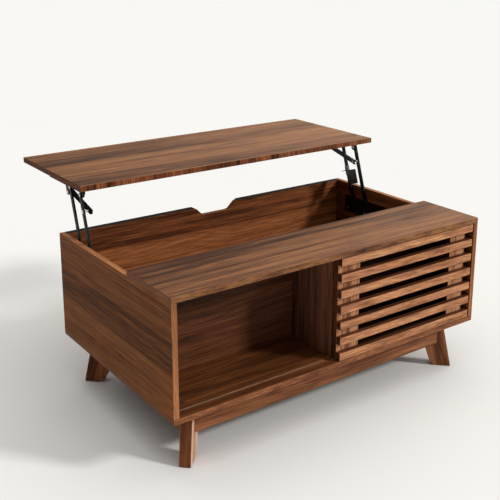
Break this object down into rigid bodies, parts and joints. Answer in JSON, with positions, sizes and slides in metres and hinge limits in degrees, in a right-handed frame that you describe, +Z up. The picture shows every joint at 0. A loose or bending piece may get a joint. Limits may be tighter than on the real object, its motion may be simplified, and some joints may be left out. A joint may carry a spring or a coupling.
{
  "type": "lift top coffee table",
  "caption": "Walnut coffee table on splayed legs: lid raised level over a storage well on linkage arms, open shelf and sliding slatted door in front.",
  "frame": {"origin": "on the floor, in the middle of the space the table takes with its lid raised", "axes": "+Z up, +X along the width to the right of the slatted front, +Y to the rear, where the lid rises to"},
  "size_m": [1, 0.835, 0.6025],
  "materials": {
    "walnut_board": "walnut laminate, satin, straight planked grain",
    "walnut_legs": "walnut stained solid wood, satin",
    "walnut_slats": "walnut laminate, satin",
    "black_steel": "black powder coat",
    "rivets": "pale rivet heads",
    "nylon": "grey nylon",
    "bumper_foam": "black cushioning strip",
    "track": "satin aluminium",
    "screws": "zinc plated"
  },
  "bodies": {
    "root": {"bottom_panel": "walnut_board", "side_panel_left": "walnut_board", "side_panel_right": "walnut_board", "back_panel": "walnut_board", "partition": "walnut_board", "divider": "walnut_board", "front_top": "walnut_board", "bumper_strips": "bumper_foam", "cam_caps": "screws", "door_track_bottom": "track", "door_track_top": "track", "leg_front_left": "walnut_legs", "leg_front_right": "walnut_legs", "leg_rear_left": "walnut_legs", "leg_rear_right": "walnut_legs", "foot_glides": "nylon", "apron_front": "walnut_legs", "apron_rear": "walnut_legs", "apron_left": "walnut_legs", "apron_right": "walnut_legs", "base_bracket_left": "black_steel", "base_bracket_right": "black_steel", "base_rivets": "rivets", "base_bushes": "nylon", "base_screws": "screws"},
    "front_arms": {"front_arm_left": "black_steel", "front_arm_right": "black_steel", "stay_studs": "rivets"},
    "rear_arms": {"rear_arm_left": "black_steel", "rear_arm_right": "black_steel", "stop_sleeve": "nylon", "stop_plate": "black_steel", "release_pin": "black_steel"},
    "lid": {"lid_panel": "walnut_board", "lid_bracket_left": "black_steel", "lid_bracket_right": "black_steel", "lid_rivets": "rivets", "lid_bushes": "nylon", "lid_screws": "screws", "stay_pins": "rivets"},
    "stays": {"stay_left": "black_steel", "stay_right": "black_steel", "stay_buttons": "rivets"},
    "door": {"slat_1": "walnut_slats", "slat_2": "walnut_slats", "slat_3": "walnut_slats", "slat_4": "walnut_slats", "slat_5": "walnut_slats", "slat_6": "walnut_slats", "slat_7": "walnut_slats", "stile_left": "walnut_slats", "stile_right": "walnut_slats", "door_guides": "nylon"}
  },
  "joints": [
    {"name": "lift", "type": "hinge", "parent": "root", "child": "front_arms", "pos_m": [0, 0.0225, 0.39431], "axis": [1, 0, 0], "range_deg": [0, 101.1]},
    {"name": "rear_arm_swing", "type": "hinge", "parent": "root", "child": "rear_arms", "pos_m": [0, 0.085, 0.40081], "axis": [1, 0, 0], "range_deg": [0, 101.11]},
    {"name": "lid_level", "type": "hinge", "parent": "front_arms", "child": "lid", "pos_m": [0, 0.07828, 0.566], "axis": [1, 0, 0], "range_deg": [-101.11, 0]},
    {"name": "stay_fold", "type": "hinge", "parent": "lid", "child": "stays", "pos_m": [0, 0.17228, 0.5505], "axis": [1, 0, 0], "range_deg": [-25.77, 0]},
    {"name": "door_slide", "type": "slide", "parent": "root", "child": "door", "axis": [-1, 0, 0], "range_m": [0, 0.475]}
  ],
  "couplings": [
    {"joint": "rear_arm_swing", "follows": "lift", "ratio": 1},
    {"joint": "lid_level", "follows": "lift", "ratio": -1},
    {"joint": "stay_fold", "follows": "lift", "ratio": -0.25481}
  ]
}
